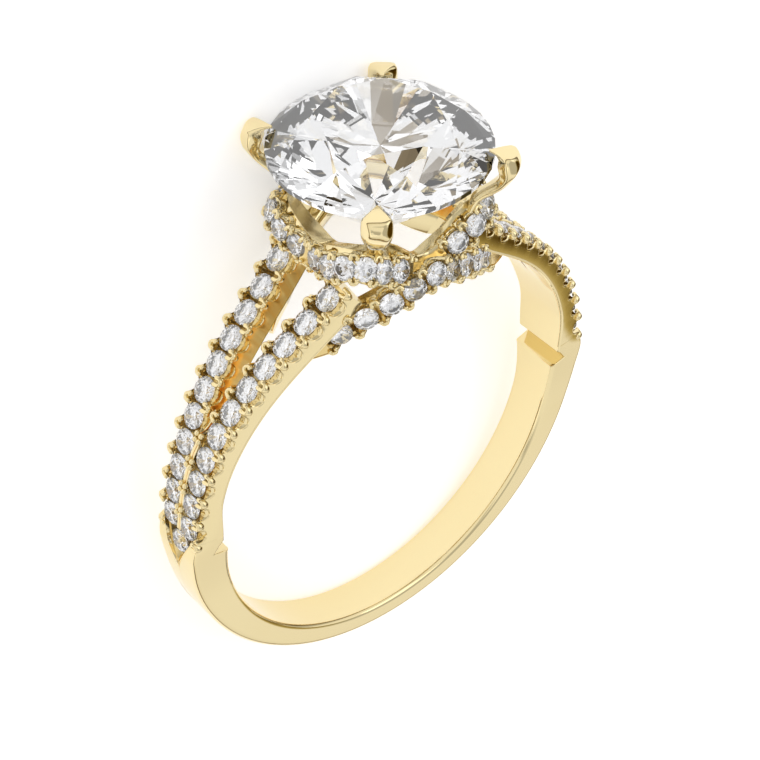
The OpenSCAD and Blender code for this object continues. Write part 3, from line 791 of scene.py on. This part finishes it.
def claw_row(t):
    i = min(int(t), len(CLAW) - 2)
    rows = [CLAW[min(max(k, 0), len(CLAW) - 1)] for k in range(i - 1, i + 3)]
    return curve(*rows, t - i)


def claw_ring(row):
    """Six corners, each rounded by a curve between its two sides."""
    r, z, r_in, z_in, half, facet = row
    outer, inner = Vector((r, 0, z)), Vector((r_in, 0, z_in))
    middle = outer.lerp(inner, MIDDLE_SHARE)
    side = Vector((0, 1, 0))
    corners = [outer + side * facet, middle + side * half, inner + side * half * INNER_SHARE,
               inner - side * half * INNER_SHARE, middle - side * half, outer - side * facet]
    ring = []
    for i, corner in enumerate(corners):
        start = corner.lerp(corners[i - 1], EDGE_SHARE)
        end = corner.lerp(corners[(i + 1) % 6], EDGE_SHARE)
        for k in range(EDGE_STEPS + 1):
            f = k / EDGE_STEPS
            ring.append(start.lerp(corner, f).lerp(corner.lerp(end, f), f))
    return ring


bm = bmesh.new()
skin(bm, [claw_ring(claw_row(k / ROW_STEPS)) for k in range(ROW_STEPS * (len(CLAW) - 1) + 1)])
bmesh.ops.rotate(bm, cent=(0, 0, 0), matrix=Matrix.Rotation(rad(CLAW_AZIMUTH), 3, "Z"), verts=bm.verts)
mirrored_into(bm, 0, 1)
piece("claws", bm, [polished], sharp=CLAW_SHARP)

# The main stone: a clear round brilliant of 8.7 mm. The four claw tips bend over its girdle
# and don't touch it.
STONE_D, GIRDLE_Z, FACET_SHARP = 8.7, 15.33, 1.0
main_crystal = crystal("main_crystal", (0.96, 0.97, 1.0, 1), 0.002, 0.0)
bm = brilliant(STONE_D)
bmesh.ops.translate(bm, vec=(0, 0, GIRDLE_Z), verts=bm.verts)
piece("main_brilliant", bm, [main_crystal], "centre_stone", FACET_SHARP)

# The set: a white floor that glows a little, so that only a soft shadow is left on it, and
# a white tent of light with a dark band low down, which draws darker lines in the gold.
FLOOR_HALF, FLOOR_GLOW, FLOOR_DROP, PAPER_GRAIN = 1.5, 0.42, 0.00004, 40
# the tent's dimmer patches: how fine they are, the noise between which they fade and their light
PATCH_FINENESS, PATCH_FROM, PATCH_TO, PATCH_LIGHT = 1.6, 0.36, 0.44, 0.55
# height in the tent, 0 level with the floor and 1 overhead, and its light there
TENT_BANDS = ((0.0, 0.40), (0.05, 0.26), (0.12, 0.30), (0.18, 0.88), (0.5, 1.0), (1.0, 1.0))
# the way to a brown flag beside the ring, how near to it the shade begins and is full, and
# its colours from the rim to the middle
FLAG_WAY, FLAG_RIM, FLAG_FULL = (-0.80, 0.41, 0.44), 0.91, 0.97
FLAG_BROWNS = ((0.0, (1, 1, 1, 1)), (0.35, (0.56, 0.46, 0.18, 1)), (1.0, (0.07, 0.035, 0.0, 1)))
bm = bmesh.new()
bmesh.ops.create_grid(bm, x_segments=1, y_segments=1, size=FLOOR_HALF)
bmesh.ops.translate(bm, vec=(0, 0, -FLOOR_DROP), verts=bm.verts)
mesh = bpy.data.meshes.new("floor")
bm.to_mesh(mesh)
bm.free()
floor = bpy.data.objects.new("floor", mesh)
bpy.context.collection.objects.link(floor)
paper = bpy.data.materials.new("paper")
paper.use_nodes = True
nodes, link = paper.node_tree.nodes, paper.node_tree.links.new
base = nodes["Principled BSDF"]
noise, ramp = nodes.new("ShaderNodeTexNoise"), nodes.new("ShaderNodeValToRGB")
noise.inputs["Scale"].default_value = PAPER_GRAIN
ramp.color_ramp.elements[0].color = (0.93, 0.93, 0.935, 1)
ramp.color_ramp.elements[1].color = (0.95, 0.95, 0.955, 1)
link(noise.outputs["Fac"], ramp.inputs["Fac"])
link(ramp.outputs["Color"], base.inputs["Base Color"])
link(ramp.outputs["Color"], base.inputs["Emission Color"])
base.inputs["Emission Strength"].default_value = FLOOR_GLOW
base.inputs["Roughness"].default_value = 0.7
base.inputs["Specular IOR Level"].default_value = 0.1
mesh.materials.append(paper)

tent = bpy.data.worlds.new("tent")
bpy.context.scene.world = tent
tent.use_nodes = True
nodes, link = tent.node_tree.nodes, tent.node_tree.links.new
back = nodes["Background"]
coord = nodes.new("ShaderNodeTexCoord")
height = nodes.new("ShaderNodeSeparateXYZ")
link(coord.outputs["Generated"], height.inputs[0])
bands = nodes.new("ShaderNodeValToRGB")
link(height.outputs["Z"], bands.inputs["Fac"])
for i, (where, light) in enumerate(TENT_BANDS):
    stop = bands.color_ramp.elements[i] if i < 2 else bands.color_ramp.elements.new(where)
    stop.position = where
    stop.color = (light, light ** 1.2, light ** 1.6, 1)
patches = nodes.new("ShaderNodeTexNoise")
patches.inputs["Scale"].default_value = PATCH_FINENESS
patches.inputs["Detail"].default_value = 0.0
link(coord.outputs["Generated"], patches.inputs["Vector"])
dim = nodes.new("ShaderNodeMapRange")
dim.inputs["From Min"].default_value = PATCH_FROM
dim.inputs["From Max"].default_value = PATCH_TO
dim.inputs["To Min"].default_value = PATCH_LIGHT
link(patches.outputs["Fac"], dim.inputs["Value"])
# the camera sees the flag mirrored in the bowed walls of the photograph's right shoulder
facing, flag = nodes.new("ShaderNodeVectorMath"), nodes.new("ShaderNodeMapRange")
browns, shaded = nodes.new("ShaderNodeValToRGB"), nodes.new("ShaderNodeMix")
facing.operation = "DOT_PRODUCT"
facing.inputs[1].default_value = FLAG_WAY
link(coord.outputs["Generated"], facing.inputs[0])
flag.inputs["From Min"].default_value = FLAG_RIM
flag.inputs["From Max"].default_value = FLAG_FULL
link(facing.outputs["Value"], flag.inputs["Value"])
link(flag.outputs["Result"], browns.inputs["Fac"])
browns.color_ramp.elements.new(FLAG_BROWNS[1][0])
for stop, (where, brown) in zip(browns.color_ramp.elements, FLAG_BROWNS):
    stop.position = where
    stop.color = brown
shaded.data_type, shaded.blend_type = "RGBA", "MULTIPLY"
shaded.inputs["Factor"].default_value = 1.0
link(bands.outputs["Color"], shaded.inputs[6])
link(browns.outputs["Color"], shaded.inputs[7])
link(shaded.outputs[2], back.inputs["Color"])
link(dim.outputs["Result"], back.inputs["Strength"])


def softbox(name, spot, size, power):
    lamp = bpy.data.lights.new(name, "AREA")
    lamp.size = size
    lamp.energy = power
    o = bpy.data.objects.new(name, lamp)
    o.location = spot
    o.rotation_euler = Vector(spot).to_track_quat("Z", "Y").to_euler()
    bpy.context.collection.objects.link(o)


softbox("key", (-0.10, -0.12, 0.22), 0.16, 0.07)
softbox("side", (0.20, 0.10, 0.12), 0.12, 0.02)

# The camera stands at the photograph's angle to the ring and distance from it, worked out
# in the ring's own axes and then laid over with it.
LENS, SENSOR = 106.36, 36.0
EYE_MM, EYE_AZIMUTH, EYE_ELEVATION, EYE_ROLL = (-43.3, -53.08, 65.11), 39.22, 41.94, 0.08
lens = bpy.data.cameras.new("camera")
lens.sensor_width, lens.lens = SENSOR, LENS
lens.clip_start, lens.clip_end = 0.005, 5
camera = bpy.data.objects.new("camera", lens)
bpy.context.collection.objects.link(camera)
azimuth, elevation = rad(EYE_AZIMUTH), rad(EYE_ELEVATION)
back_to_eye = Vector((-math.cos(elevation) * math.sin(azimuth), -math.cos(elevation) * math.cos(azimuth),
                      math.sin(elevation)))
turn = back_to_eye.to_track_quat("Z", "Y").to_matrix().to_4x4() @ Matrix.Rotation(rad(EYE_ROLL), 4, "Z")
laid = LIE @ Matrix.Translation(EYE_MM) @ turn
camera.matrix_world = Matrix.Translation(laid.translation) @ laid.to_quaternion().to_matrix().to_4x4()
bpy.context.scene.camera = camera
bpy.context.scene.view_settings.view_transform = "Standard"
